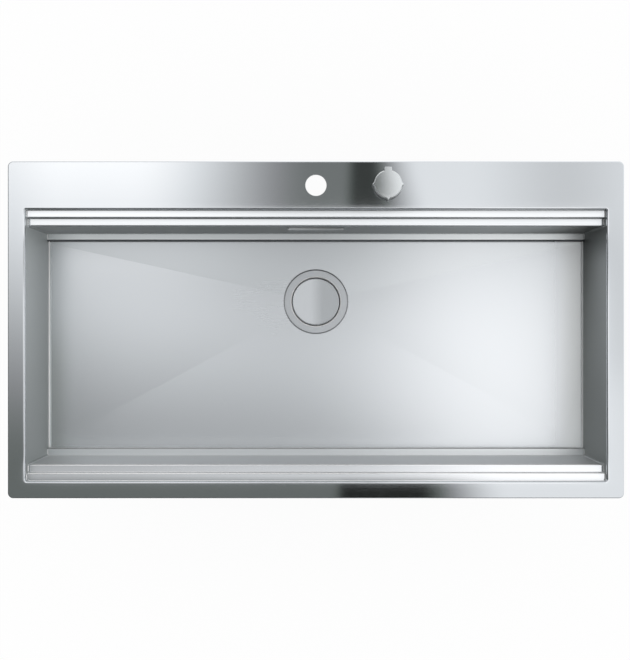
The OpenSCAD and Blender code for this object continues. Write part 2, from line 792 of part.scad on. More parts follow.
module waste_cable_gland() {
    top = cone_bottom + cable_arm_t;
    nut_h = 5;
    color([0.15, 0.15, 0.16]) at_waste() translate([lever_arm + lever_out, 0, 0]) difference() {
        union() {
            translate([0, 0, top + 2 - gland_len]) cylinder(r = gland_r, h = gland_len);
            translate([0, 0, top + seat_gap]) cylinder(r = gland_r + 2, h = 2);
            translate([0, 0, cone_bottom - nut_h]) cylinder(r = gland_r + 3, h = nut_h - seat_gap, $fn = 6);
        }
        translate([0, 0, top - gland_len]) cylinder(r = cable_hole_r, h = 2 * gland_len);
    }
}

// Overflow

module overflow_cover() {
    wall = 1;
    face_y = wall_rear - overflow_out;
    color([0.8, 0.81, 0.82]) difference() {
        translate([0, wall_rear, overflow_z]) rotate([90, 0, 0]) linear_extrude(overflow_out)
            rounded(overflow_w, overflow_h, 3);
        translate([0, wall_rear + 1, overflow_z]) rotate([90, 0, 0])
            linear_extrude(overflow_out - wall + 1) difference() {
                rounded(overflow_w - 2 * wall, overflow_h - 2 * wall, 3 - wall);
                for (s = [-1, 1]) translate([s * overflow_screw_x, 0]) circle(overflow_screw_r + 2);
            }
        translate([-slot_w / 2, wall_rear - overflow_out + wall, overflow_z - overflow_h / 2 - 1])
            cube([slot_w, overflow_out, 2 + wall]);
        for (s = [-1, 1]) translate([s * overflow_screw_x, face_y - 1, overflow_z]) rotate([-90, 0, 0]) {
            cylinder(r = overflow_screw_r + pin_gap, h = overflow_out + 2);
            cylinder(r = overflow_screw_r + 1.5 + pin_gap, h = 1.9);
        }
    }
}

module overflow_plate(y0, t, w, h, sw, sh, hole_r) {
    difference() {
        translate([0, y0, overflow_z]) rotate([-90, 0, 0]) linear_extrude(t) rounded(w, h, 5);
        overflow_slot(sw, sh, y0 - 1, t + 2);
        for (s = [-1, 1]) translate([s * overflow_screw_x, y0 - 1, overflow_z]) rotate([-90, 0, 0])
            cylinder(r = hole_r, h = t + 2);
    }
}

module overflow_gasket() {
    color([0.1, 0.1, 0.1])
        overflow_plate(wall_rear + sheet_t, overflow_gasket_t, overflow_w + 4, housing_h + 6,
            slot_w + 1, slot_h + 1, overflow_screw_r + pin_gap);
}

module overflow_housing() {
    y0 = wall_rear + sheet_t + overflow_gasket_t;
    y1 = y0 + overflow_flange_t;
    color([0.9, 0.9, 0.88]) difference() {
        union() {
            overflow_plate(y0, overflow_flange_t, overflow_w + 4, housing_h + 6,
                slot_w, slot_h, overflow_screw_r);
            translate([-housing_w / 2, y1 - 1, overflow_z - housing_h / 2])
                cube([housing_w, housing_d + 1, housing_h]);
            translate([0, pipe_y, spout_bottom]) cylinder(r = spout_r + spout_wall, h = spout_len + housing_wall);
        }
        translate([-housing_w / 2 + housing_wall, y0 - 1, overflow_z - slot_h / 2 + eps])
            cube([slot_w, overflow_flange_t + 2, slot_h - 2 * eps]);
        translate([-housing_w / 2 + housing_wall, y1, overflow_z - housing_h / 2 + housing_wall])
            cube([housing_w - 2 * housing_wall, housing_d - housing_wall, housing_h - 2 * housing_wall]);
        translate([0, pipe_y, spout_bottom - 1]) cylinder(r = pipe_r + pin_gap, h = socket_len + 1);
        translate([0, pipe_y, spout_bottom])
            cylinder(r = pipe_r - pipe_t, h = spout_len + 2 * housing_wall);
    }
}

module overflow_screws() {
    y0 = wall_rear - overflow_out;
    color([0.75, 0.75, 0.76]) for (s = [-1, 1])
        translate([s * overflow_screw_x, y0, overflow_z]) rotate([-90, 0, 0]) difference() {
            union() {
                cylinder(r = overflow_screw_r + 1.5, h = 0.9);
                cylinder(r = overflow_screw_r - 0.1, h = overflow_out + sheet_t + overflow_gasket_t + 3.5);
            }
            translate([-0.5, -5, -1]) cube([1, 10, 1.5]);
        }
}

module overflow_pipe() {
    top = spout_bottom + socket_len - 1;
    bend_z = port_z + pipe_bend_r;
    run = pipe_y - pipe_bend_r;
    end_y = waste_y + chamber_r + body_wall + 1;
    color([0.9, 0.9, 0.88]) {
        translate([0, pipe_y, bend_z]) difference() {
            cylinder(r = pipe_r, h = top - bend_z);
            translate([0, 0, -1]) cylinder(r = pipe_r - pipe_t, h = top - bend_z + 2);
        }
        translate([0, run, bend_z]) rotate([0, 90, 0]) rotate_extrude(angle = 90)
            translate([pipe_bend_r, 0]) difference() {
                circle(pipe_r);
                circle(pipe_r - pipe_t);
            }
        translate([0, run, port_z]) rotate([90, 0, 0]) difference() {
            cylinder(r = pipe_r, h = run - end_y);
            translate([0, 0, -1]) cylinder(r = pipe_r - pipe_t, h = run - end_y + 2);
        }
    }
}

// A union nut and its seal on an overflow spout, drawn along +Z from the spout's mouth
module pipe_nut() {
    difference() {
        union() {
            translate([0, 0, -10]) cylinder(r = spout_r + 5, h = 14);
            for (i = [0 : 7]) rotate(i * 45) translate([spout_r + 5, 0, -10]) cylinder(r = nut_rib_r, h = 14);
        }
        translate([0, 0, -11]) cylinder(r = spout_r + spout_wall + 0.1, h = 13.2);
        translate([0, 0, -11]) cylinder(r = pipe_r + 0.2, h = 20);
    }
}

module pipe_seal() {
    difference() {
        cylinder(r = spout_r + 1.4, h = 2);
        translate([0, 0, -1]) cylinder(r = pipe_r + 0.1, h = 4);
    }
}

module at_overflow_spouts() {
    translate([0, pipe_y, spout_bottom]) rotate([180, 0, 0]) children();
    translate([0, port_end, port_z]) rotate([-90, 0, 0]) children();
}

module overflow_nuts() {
    color([0.9, 0.9, 0.88]) at_overflow_spouts() pipe_nut();
}

module overflow_seals() {
    color([0.1, 0.1, 0.1]) at_overflow_spouts() pipe_seal();
}

// Control knob

module at_knob(z = 0) translate([knob_x, tap_y, z]) children();

// The grip tab narrows towards a straight end with round corners
module knob_tab() {
    end_x = tab_end_w / 2;
    end_y = tab_reach - tab_end_r;
    polygon([
        [-tab_w / 2, 0], [tab_w / 2, 0], [end_x, end_y], [end_x - tab_end_r, tab_reach],
        [tab_end_r - end_x, tab_reach], [-end_x, end_y],
    ]);
    for (s = [-1, 1]) translate([s * (end_x - tab_end_r), end_y]) circle(tab_end_r);
}

// A pointed nib along X whose top edges are bevelled like the disc's
module knob_nib(h) {
    root = knob_r - nib_root;
    tip = knob_r + nib_out;
    hull() {
        linear_extrude(h - knob_bevel) polygon([[root, -nib_w], [tip, 0], [root, nib_w]]);
        linear_extrude(h) polygon([[root, -nib_w + knob_bevel], [tip - knob_bevel, 0], [root, nib_w - knob_bevel]]);
    }
}

module control_knob() {
    body_h = knob_top - knob_foot_z;
    color([0.8, 0.81, 0.82]) at_knob(knob_foot_z) difference() {
        union() {
            cylinder(r = knob_r, h = body_h - knob_bevel);
            translate([0, 0, body_h - knob_bevel])
                cylinder(r1 = knob_r, r2 = knob_r - knob_bevel, h = knob_bevel);
            linear_extrude(body_h) knob_tab();
            for (a = [0, 180, 270]) rotate(a) knob_nib(body_h);
        }
        translate([0, 0, -1]) cylinder(r = spindle_r + seat_gap, h = body_h - 4);
    }
}

module knob_base() {
    color([0.75, 0.76, 0.77]) at_knob() difference() {
        union() {
            translate([0, 0, deck_h]) cylinder(r = knob_base_r, h = knob_base_h * 0.6);
            translate([0, 0, deck_h + knob_base_h * 0.6])
                cylinder(r1 = knob_base_r, r2 = knob_base_r - 1, h = knob_base_h * 0.4);
            translate([0, 0, sleeve_bottom]) cylinder(r = sleeve_r, h = sleeve_len + 0.5);
        }
        translate([0, 0, sleeve_bottom - 1]) cylinder(r = spindle_r + pin_gap, h = sleeve_len + 10);
    }
}

module knob_spindle() {
    bottom = sleeve_bottom - drum_gap - drum_h;
    color([0.7, 0.71, 0.72]) at_knob(bottom) cylinder(r = spindle_r, h = knob_top - 5 - seat_gap - bottom);
}

module cable_drum() {
    groove = 1.5;
    bottom = sleeve_bottom - drum_gap - drum_h;
    color([0.2, 0.2, 0.22]) at_knob(bottom) rotate_extrude() difference() {
        translate([spindle_r + seat_gap, 0]) square([drum_r - spindle_r - seat_gap, drum_h]);
        translate([drum_r, drum_h / 2]) circle(groove);
    }
}

module drum_casing() {
    top = sleeve_bottom - seat_gap;
    in_r = drum_r + 1.2;
    color([0.2, 0.2, 0.22]) at_knob(top - casing_h) difference() {
        union() {
            cylinder(r = in_r + casing_t, h = casing_h);
            cylinder(r = sleeve_r + 3, h = casing_h + 8);
            translate([-in_r - 10, -6, 0]) cube([in_r + 4, 12, casing_h]);
        }
        translate([0, 0, casing_t]) cylinder(r = in_r, h = casing_h - casing_t);
        translate([0, 0, casing_t]) cylinder(r = sleeve_r + 0.1, h = casing_h + 8);
        translate([-in_r - 12, 0, casing_t + drum_gap + drum_h / 2]) rotate([0, 90, 0])
            cylinder(r = 3, h = 20);
    }
}

module knob_cable_gland() {
    z = sleeve_bottom - seat_gap - casing_h + casing_t + drum_gap + drum_h / 2;
    color([0.15, 0.15, 0.16]) at_knob(z) translate([-drum_r - 11.2, 0, 0]) rotate([0, -90, 0]) difference() {
        union() {
            translate([0, 0, -8]) cylinder(r = 3 - seat_gap, h = 8.5);
            translate([0, 0, seat_gap]) cylinder(r = 5, h = 9);
        }
        translate([0, 0, -9]) cylinder(r = 1.2, h = 20);
    }
}

module knob_washer() {
    washer_t = 2;
    color([0.1, 0.1, 0.1]) at_knob(deck_under - stiffener_t - washer_t) difference() {
        cylinder(r = sleeve_r + 6, h = washer_t);
        translate([0, 0, -1]) cylinder(r = sleeve_r + 0.1, h = washer_t + 2);
    }
}

module knob_nut() {
    nut_h = 7;
    color([0.9, 0.9, 0.88]) at_knob(deck_under - stiffener_t - 2 - nut_h) difference() {
        union() {
            cylinder(r = sleeve_r + 7, h = nut_h, $fn = 6);
            translate([0, 0, nut_h - 2]) cylinder(r = sleeve_r + 7, h = 2);
        }
        translate([0, 0, -1]) cylinder(r = sleeve_r + 0.1, h = nut_h + 2);
    }
}

// Rim clamps: x points out of the sink, y along its edge

module at_clamp(i) translate([CLAMPS[i][0], CLAMPS[i][1], 0]) rotate(CLAMPS[i][2]) children();

module clamp_bracket() {
    top_lug = deck_under - lug_drop;
    difference() {
        union() {
            translate([-bracket_out, -bracket_w / 2, deck_under - bracket_t])
                cube([bracket_out + bracket_lip, bracket_w, bracket_t]);
            translate([-bracket_out, -bracket_w / 2, bracket_bottom]) cube([bracket_t, bracket_w, bracket_h]);
            for (z = [top_lug, bracket_bottom]) {
                translate([-bracket_out, -lug_r, z]) cube([bracket_out, 2 * lug_r, lug_t]);
                translate([0, 0, z]) cylinder(r = lug_r - 1.2, h = lug_t);
            }
        }
        for (z = [top_lug, bracket_bottom])
            translate([0, 0, z - 1]) cylinder(r = clamp_screw_r + pin_gap, h = lug_t + 2);
    }
}

module clamp_brackets() {
    color([0.6, 0.61, 0.63]) for (i = [0 : len(CLAMPS) - 1]) at_clamp(i) clamp_bracket();
}

module clamp_screw(i) {
    collar_z = deck_under - lug_drop + lug_t + run_gap;
    head_h = 5;
    color([0.7, 0.71, 0.72]) at_clamp(i) {
        translate([0, 0, bracket_bottom - run_gap - 1]) cylinder(r = clamp_screw_r, h = collar_z - bracket_bottom + 4);
        translate([0, 0, collar_z]) cylinder(r = clamp_screw_r + 1.6, h = 2);
        translate([0, 0, bracket_bottom - run_gap - head_h]) difference() {
            cylinder(r = clamp_screw_r + 2, h = head_h, $fn = 6);
            translate([-0.6, -8, -1]) cube([1.2, 16, 2.5]);
        }
    }
}

module clamp_jaw(i) {
    arm_w = 8;
    arm_h = 8;
    color([0.55, 0.56, 0.58]) at_clamp(i) translate([0, 0, jaw_z]) difference() {
        union() {
            cylinder(r = jaw_sleeve_r, h = jaw_h);
            translate([-arm_w / 2, 0, jaw_h - arm_h]) cube([arm_w, jaw_reach, arm_h]);
            for (k = [0 : 3]) translate([-arm_w / 2, jaw_reach - 3 * k, jaw_h]) rotate([90, 0, 90])
                linear_extrude(arm_w) polygon([[-2.4, 0], [0, 0], [0, jaw_tooth]]);
        }
        translate([0, 0, -1]) cylinder(r = clamp_screw_r + pin_gap, h = jaw_h + 2);
        translate([-arm_w, jaw_sleeve_r + 1, jaw_h - arm_h - 1]) rotate([atan2(4, jaw_reach), 0, 0])
            translate([0, 0, -arm_h]) cube([2 * arm_w, jaw_reach, arm_h]);
    }
}

deck();
bowl_trough();
bowl_end(-1);  // bowl_end_left
bowl_end(1);  // bowl_end_right
tap_stiffener();
rim_gasket();
sound_pads();
clamp_brackets();
waste_flange();
flange_seal();
waste_gasket();
waste_body();
flange_screws();
outlet_nut();
outlet_seal();
outlet_tailpiece();
strainer_cap();
strainer_basket();
strainer_stem();
strainer_seal();
lift_pin();
lift_lever();
lever_socket();
lever_nut();
waste_cable_gland();
overflow_cover();
overflow_gasket();
overflow_housing();
overflow_screws();
overflow_pipe();
overflow_nuts();
overflow_seals();
control_knob();
knob_base();
knob_spindle();
cable_drum();
drum_casing();
knob_washer();
knob_nut();
knob_cable_gland();
clamp_screw(0);  // clamp_screw_1
clamp_screw(1);  // clamp_screw_2
clamp_screw(2);  // clamp_screw_3
clamp_screw(3);  // clamp_screw_4
clamp_screw(4);  // clamp_screw_5
clamp_screw(5);  // clamp_screw_6
clamp_screw(6);  // clamp_screw_7
clamp_jaw(0);  // clamp_jaw_1
clamp_jaw(1);  // clamp_jaw_2
clamp_jaw(2);  // clamp_jaw_3
clamp_jaw(3);  // clamp_jaw_4
clamp_jaw(4);  // clamp_jaw_5
clamp_jaw(5);  // clamp_jaw_6
clamp_jaw(6);  // clamp_jaw_7
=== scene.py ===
import math

import bpy
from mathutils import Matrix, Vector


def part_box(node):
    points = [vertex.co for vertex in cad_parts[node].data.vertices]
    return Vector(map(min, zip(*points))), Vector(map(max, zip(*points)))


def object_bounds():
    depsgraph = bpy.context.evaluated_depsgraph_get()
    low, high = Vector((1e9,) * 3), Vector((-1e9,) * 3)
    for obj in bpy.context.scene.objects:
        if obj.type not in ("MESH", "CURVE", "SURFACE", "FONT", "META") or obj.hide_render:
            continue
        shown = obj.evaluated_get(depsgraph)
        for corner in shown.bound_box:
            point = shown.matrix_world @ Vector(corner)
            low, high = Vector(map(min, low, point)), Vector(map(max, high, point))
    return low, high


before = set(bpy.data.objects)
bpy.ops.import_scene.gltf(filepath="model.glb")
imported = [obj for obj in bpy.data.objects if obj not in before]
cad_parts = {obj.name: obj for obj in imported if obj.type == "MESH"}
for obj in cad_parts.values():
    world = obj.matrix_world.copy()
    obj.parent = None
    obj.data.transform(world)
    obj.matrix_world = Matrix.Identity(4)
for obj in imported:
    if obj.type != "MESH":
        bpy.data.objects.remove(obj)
cadBox = [list(corner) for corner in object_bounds()]
scene = bpy.context.scene
print("frame loaded:", len(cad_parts), "nodes")

# the rim's middle lies a little off the picture's middle
cameraLook = {
    "pixelsHigh": 660,
    "height": 2.228,
    "x": -0.0016,
    "y": -0.0003,
    "focalPixels": 1339.25,  # picture pixels that one radian takes at the middle
    "sensor": 36.0,
}


def makeCamera(look):
    data = bpy.data.cameras.new("overheadCamera")
    data.sensor_fit = "AUTO"
    data.sensor_width = look["sensor"]
    data.lens = look["focalPixels"] * look["sensor"] / look["pixelsHigh"]
    data.clip_start = 0.05
    data.clip_end = 40
    camera = bpy.data.objects.new("overheadCamera", data)
    camera.location = (look["x"], look["y"], look["height"])
    scene.collection.objects.link(camera)
    scene.camera = camera


makeCamera(cameraLook)
scene.view_settings.view_transform = "Standard"
print("camera placed")


# wraps a socket, so that sums on it read as plain Python
class Wire:
    def __init__(self, tree, socket):
        self.tree = tree
        self.socket = socket

    def maths(self, operation, first, second=None, clamp=False):
        given = {i: v for i, v in enumerate((first, second)) if v is not None}
        return self.tree.add("ShaderNodeMath", {"operation": operation, "use_clamp": clamp}, given)

    def __add__(self, other):
        return self.maths("ADD", self, other)

    def __radd__(self, other):
        return self.maths("ADD", other, self)

    def __sub__(self, other):
        return self.maths("SUBTRACT", self, other)

    def __rsub__(self, other):
        return self.maths("SUBTRACT", other, self)

    def __mul__(self, other):
        return self.maths("MULTIPLY", self, other)

    def __rmul__(self, other):
        return self.maths("MULTIPLY", other, self)

    def __truediv__(self, other):
        return self.maths("DIVIDE", self, other)

    def __rtruediv__(self, other):
        return self.maths("DIVIDE", other, self)

    def __pow__(self, other):
        return self.maths("POWER", self, other)

    def __abs__(self):
        return self.maths("ABSOLUTE", self)

    def __neg__(self):
        return self.maths("MULTIPLY", self, -1.0)

    def least(self, other):
        return self.maths("MINIMUM", self, other)

    def most(self, other):
        return self.maths("MAXIMUM", self, other)

    def fraction(self):
        return self.maths("FRACT", self)

    def angleFrom(self, other):
        return self.maths("ARCTAN2", self, other)

    def clipped(self):
        return self.maths("ADD", self, 0.0, clamp=True)


# how many rays the edge rounding and the crease shading send
raysLook = {"edge": 4, "crease": 6}


# one node tree and the handful of ways that nodes are put in it
class Tree:
    def __init__(self, owner):
        owner.use_nodes = True
        self.nodes = owner.node_tree.nodes
        self.links = owner.node_tree.links
        self.nodes.clear()

    def add(self, kind, settings=None, sockets=None, out=0):
        node = self.nodes.new(kind)
        for name, value in (settings or {}).items():
            setattr(node, name, value)
        for key, value in (sockets or {}).items():
            socket = node.inputs[key]
            if isinstance(value, Wire):
                self.links.new(value.socket, socket)
            else:
                socket.default_value = (*value, 1.0) if socket.type == "RGBA" else value
        if out is None:
            return node
        return Wire(self, node.outputs[out])

    # 0 below low, 1 above high, eased between
    def step(self, value, low, high):
        return self.add(
            "ShaderNodeMapRange",
            {"interpolation_type": "SMOOTHSTEP"},
            {"Value": value, "From Min": low, "From Max": high},
        )

    # 1 inside low to high, 0 outside, eased over soft
    def band(self, value, low, high, soft):
        return self.step(value, low - soft, low + soft) * (1 - self.step(value, high - soft, high + soft))

    # first where the mask is 0, second where it's 1
    def blend(self, mask, first, second):
        return first + mask * (second - first)

    # first below the span, second above it
    def eased(self, value, span, first, second):
        return self.blend(self.step(value, *span), first, second)

    def blendColour(self, mask, first, second):
        settings = {"data_type": "RGBA", "blend_type": "MIX"}
        return self.add("ShaderNodeMix", settings, {0: mask, 6: first, 7: second}, 2)

    def scaled(self, vector, scale):
        return self.add("ShaderNodeMapping", None, {"Vector": vector, "Scale": scale})

    def noise(self, vector, scale, detail, rough):
        sockets = {"Vector": vector, "Scale": scale, "Detail": detail, "Roughness": rough}
        return self.add("ShaderNodeTexNoise", None, sockets, "Fac")

    def parts(self, vector):
        node = self.add("ShaderNodeSeparateXYZ", None, {0: vector}, None)
        return [Wire(self, s) for s in node.outputs]

    def joined(self, x, y, z):
        return self.add("ShaderNodeCombineXYZ", None, {0: x, 1: y, 2: z})

    def place(self):
        return self.add("ShaderNodeTexCoord", None, None, "Object")

    def normal(self):
        return self.add("ShaderNodeNewGeometry", None, None, "Normal")

    def vectors(self, operation, first, second=None, out=0):
        given = {i: v for i, v in enumerate((first, second)) if v is not None}
        return self.add("ShaderNodeVectorMath", {"operation": operation}, given, out)

    # the normal with its edges rounded, and how far the rounding turned it
    def roundedEdge(self, radius):
        rounded = self.add("ShaderNodeBevel", {"samples": raysLook["edge"]}, {"Radius": radius})
        return rounded, 1 - self.vectors("DOT_PRODUCT", rounded, self.normal(), "Value")

    def bump(self, height, distance, normal):
        return self.add("ShaderNodeBump", None, {"Height": height, "Distance": distance, "Normal": normal})

    # a normal that leans a little towards a direction
    def leaned(self, normal, towards):
        return self.vectors("NORMALIZE", self.vectors("ADD", normal, towards))

    # how far a place is closed in by what stands within reach of it, the mask of painted crease shade
    def crease(self, reach, alone, low=0.06, high=0.5):
        settings = {"samples": raysLook["crease"], "only_local": alone}
        clear = self.add("ShaderNodeAmbientOcclusion", settings, {"Distance": reach}, "AO")
        return self.step(1 - clear, low, high)

    def glow(self, level, tint=None):
        colour = self.joined(level, level, level)
        if tint is not None:
            colour = self.vectors("MULTIPLY", colour, tint)
        return self.add("ShaderNodeEmission", None, {"Color": colour, "Strength": 1.0})

    def finish(self, shader, output="ShaderNodeOutputMaterial"):
        self.add(output, None, {"Surface": shader}, None)


def grey(level):
    return (level, level, level)


def newMaterial(name):
    material = bpy.data.materials.new(name)
    return material, Tree(material)


def newObject(name, corners, faces):
    mesh = bpy.data.meshes.new(name)
    mesh.from_pydata(corners, [], faces)
    made = bpy.data.objects.new(name, mesh)
    scene.collection.objects.link(made)
    return made


# a plain pale room: white floor that keeps a soft shadow, white walls of light
roomLook = {
    "floorGap": 0.012,  # below the lowest pipe
    "floorHalf": 9.0,
    "floorShade": 0.96,
    "shadowKept": 0.08,
    "worldLevel": 1.0,
}


def makeFloor(look):
    lowest = cadBox[0][2] - look["floorGap"]
    half = look["floorHalf"]
    corners = [(-half, -half, lowest), (half, -half, lowest), (half, half, lowest), (-half, half, lowest)]
    floor = newObject("studioFloor", corners, [(0, 1, 2, 3)])
    material, tree = newMaterial("paleFloor")
    path = tree.add("ShaderNodeLightPath", None, None, None)
    seen = Wire(tree, path.outputs["Is Camera Ray"])
    seen = seen.most(Wire(tree, path.outputs["Is Glossy Ray"]))
    seen = seen.most(Wire(tree, path.outputs["Is Transmission Ray"]))
    matt = tree.add("ShaderNodeBsdfDiffuse", None, {"Color": grey(look["floorShade"])})
    white = tree.add("ShaderNodeEmission", None, {"Color": grey(1.0), "Strength": 1.0})
    share = seen * (1 - look["shadowKept"])
    tree.finish(tree.add("ShaderNodeMixShader", None, {0: share, 1: matt, 2: white}))
    floor.data.materials.append(material)


def makeWorld(look):
    world = bpy.data.worlds.new("paleRoom")
    scene.world = world
    tree = Tree(world)
    light = tree.add("ShaderNodeBackground", None, {"Color": grey(1.0), "Strength": look["worldLevel"]})
    tree.finish(light, "ShaderNodeOutputWorld")


# studio cards show in the steel alone: the camera and the matt pieces see the plain white room
def onlyMirrored(card):
    card.visible_camera = False
    card.visible_diffuse = False
    card.visible_shadow = False
    card.visible_transmission = False


# overhead cloth panel, painted in metres of the rim that mirrors it: its left side pales towards
# the rear, then comes a narrow unlit gap, then its pale right side
# a pair of places is where an easing begins and ends, and a third number is how soft a band's sides are
panelLook = {
    "height": 0.75,
    "halfWide": 0.8,
    "halfDeep": 0.46,
    "dimTint": (0.92, 1.0, 0.93),  # greenish where it's dim, warm where it's pale
    "dimTo": (0.1, 0.33),
    "paleTint": (1.02, 1.0, 0.985),
    "paleFrom": (0.85, 1.3),
    "leftPale": 1.36,
    "leftDim": (0.17, 0.21),  # in front and behind
    "leftDimFrom": (0.0, 0.24),
    "leftEdge": 0.16,  # how much of the paling the far left loses
    "leftEdgeTo": (-0.54, -0.42),
    "dimFrom": (-0.24, 0.4),  # front to rear
    "fadeFrom": (-0.31, 0.0),  # left to the gap
    "gapLevel": (0.022, 0.05),  # in front and behind
    "gapLevelFrom": (-0.25, 0.2),
    "gapLeft": 0.056,
    "gapRight": 0.14,
    "gapRear": 0.232,  # both sides stand at these places here, and slant away from it
    "gapLeftSlant": 0.035,
    "gapRightSlant": 0.212,
    "gapSoft": (0.012, 0.045),  # left and right
    "gapSofter": 0.3,
    "rightPale": 0.94,
    "rightDip": 0.22,
    "rightDipAcross": (0.33, 0.5, 0.09),
    "rightDipAlong": (-0.25, 0.2),
    "edgeDip": 0.08,  # at the far right, over the middle of its length
    "edgeDipAcross": (0.46, 0.5),
    "edgeDipAlong": (-0.08, 0.16, 0.06),
}


def rimPattern(tree, look, across, along):
    edge = 1 - tree.step(across, *look["leftEdgeTo"])
    rise = tree.step(along, *look["dimFrom"]) * (1 - edge * look["leftEdge"])
    fade = 1 - tree.step(across, *look["fadeFrom"])
    dim = tree.eased(along, look["leftDimFrom"], *look["leftDim"])
    left = tree.blend(rise * fade, dim, look["leftPale"])
    forward = look["gapRear"] - along
    slant = forward * look["gapRightSlant"]
    narrow, wide = look["gapSoft"]
    begin = look["gapLeft"] - forward * look["gapLeftSlant"]
    gap = tree.step(across - begin, -narrow, narrow)
    left = tree.blend(gap, left, tree.eased(along, look["gapLevelFrom"], *look["gapLevel"]))
    soft = wide + slant * look["gapSofter"]
    right = tree.step((across - look["gapRight"] - slant) / soft, -1.0, 1.0)
    dip = tree.band(across, *look["rightDipAcross"]) * tree.step(along, *look["rightDipAlong"])
    edgeDip = tree.step(across, *look["edgeDipAcross"]) * tree.band(along, *look["edgeDipAlong"])
    pale = look["rightPale"] - dip * look["rightDip"] - edgeDip * look["edgeDip"]
    return tree.blend(right, left, pale)


# a paler window over the bowl, which the rim doesn't mirror
windowLook = {
    "left": (0.42, 1.08),  # in front and behind
    "leftFrom": (-0.2, 0.12),
    "right": 1.27,
    "rightFrom": (-0.04, 0.32),
    "shade": 0.42,  # the middle darkens towards the rear
    "shadeAcross": (-0.16, 0.14, 0.12),
    "shadeFrom": (-0.06, 0.11),
    "rearDim": (0.42, 0.16),  # left and right
    "rearDimAcross": (0.0, 0.3),
    "rearDimFrom": (0.04, 0.12),
    "leftHalf": 0.445,
    "leftSoft": 0.035,
    "leftTaper": 0.075,  # how the left side closes in towards the front
    "taperFrom": 0.1,
    "rightHalf": 0.46,
    "front": -0.2,
    "rear": 0.13,
    "soft": 0.05,
}


def overWindow(tree, look, level, across, along):
    window = tree.eased(along, look["leftFrom"], *look["left"])
    window = tree.eased(across, look["rightFrom"], window, look["right"])
    middle = tree.band(across, *look["shadeAcross"]) * tree.step(along, *look["shadeFrom"])
    window = window * (1 - middle * look["shade"])
    rearDim = tree.eased(across, look["rearDimAcross"], *look["rearDim"])
    window = window * (1 - tree.step(along, *look["rearDimFrom"]) * rearDim)
    half, soft = look["leftHalf"], look["leftSoft"]
    leftSide = across - (look["taperFrom"] - along) * look["leftTaper"]
    inside = tree.step(leftSide, -half - soft, soft - half)
    half, soft = look["rightHalf"], look["soft"]
    inside = inside * (1 - tree.step(across, half - soft, half + soft))
    inside = inside * tree.band(along, look["front"], look["rear"], soft)
    return tree.blend(inside, level, window)


# two strips that only the ledges mirror
stripLook = {
    "half": 0.482,
    "soft": 0.003,
    "rear": (0.158, 0.2),
    "rearPale": 1.24,
    "rearDip": 0.09,
    "rearDipAcross": (-0.08, 0.08, 0.13),
    "rearInner": 0.12,  # how much dimmer its half nearer the bowl is
    "rearInnerTo": (0.184, 0.191),
    "front": (-0.2505, -0.22),
    "frontLevels": (0.59, 0.81, 1.3),  # left, middle, right
    "frontFrom": ((-0.5, 0.0), (-0.02, 0.34)),
    "frontInner": 0.1,
    "frontInnerFrom": (-0.24, -0.235),
}


def overStrips(tree, look, level, across, along):
    rear = look["rearPale"] - tree.band(across, *look["rearDipAcross"]) * look["rearDip"]
    rear = rear * (1 - (1 - tree.step(along, *look["rearInnerTo"])) * look["rearInner"])
    first, second, third = look["frontLevels"]
    toMiddle, toRight = look["frontFrom"]
    front = tree.eased(across, toMiddle, first, second) + tree.step(across, *toRight) * (third - second)
    front = front * (1 - tree.step(along, *look["frontInnerFrom"]) * look["frontInner"])
    soft = look["soft"]
    wide = tree.band(across, -look["half"], look["half"], soft)
    level = tree.blend(wide * tree.band(along, *look["rear"], soft), level, rear)
    return tree.blend(wide * tree.band(along, *look["front"], soft), level, front)


def makePanel(look):
    x, y, z = look["halfWide"], look["halfDeep"], look["height"]
    panel = newObject("softPanel", [(-x, -y, z), (-x, y, z), (x, y, z), (x, -y, z)], [(0, 1, 2, 3)])
    onlyMirrored(panel)
    material, tree = newMaterial("softPanel")
    mirrored = cameraLook["height"] / (cameraLook["height"] + z)
    across, along, _ = tree.parts(tree.scaled(tree.place(), (mirrored, mirrored, 1.0)))
    level = rimPattern(tree, look, across, along)
    level = overWindow(tree, windowLook, level, across, along)
    level = overStrips(tree, stripLook, level, across, along)
    tint = tree.blendColour(tree.step(level, *look["dimTo"]), look["dimTint"], grey(1.0))
    tint = tree.blendColour(tree.step(level, *look["paleFrom"]), tint, look["paleTint"])
    tree.finish(tree.glow(level, tint))
    panel.data.materials.append(material)


# standing cards all round: pale at the right and behind, dim at the left and in front
cardLook = {
    "away": 2.6,
    "low": -0.35,
    "high": 2.6,
    "middle": 0.5,
    "toRight": 0.6,
    "toRear": 0.6,
    "least": 0.04,
    "most": 1.0,
    "sides": 48,
}


def makeCards(look):
    count, away = look["sides"], look["away"]
    turns = [math.tau * i / count for i in range(count)]
    ring = [(away * math.cos(turn), away * math.sin(turn)) for turn in turns]
    low = [(x, y, look["low"]) for x, y in ring]
    high = [(x, y, look["high"]) for x, y in ring]
    faces = [(i, (i + 1) % count, count + (i + 1) % count, count + i) for i in range(count)]
    faces.append(tuple(range(count, 2 * count)))
    cards = newObject("studioCards", low + high, faces)
    onlyMirrored(cards)
    material, tree = newMaterial("studioCards")
    x, y, z = tree.parts(tree.place())
    far = (x * x + y * y + z * z) ** 0.5
    level = look["middle"] + (x / far) * look["toRight"] + (y / far) * look["toRear"]
    tree.finish(tree.glow(level.most(look["least"]).least(look["most"])))
    cards.data.materials.append(material)


makeFloor(roomLook)
makeWorld(roomLook)
makePanel(panelLook)
makeCards(cardLook)
print("room lit")
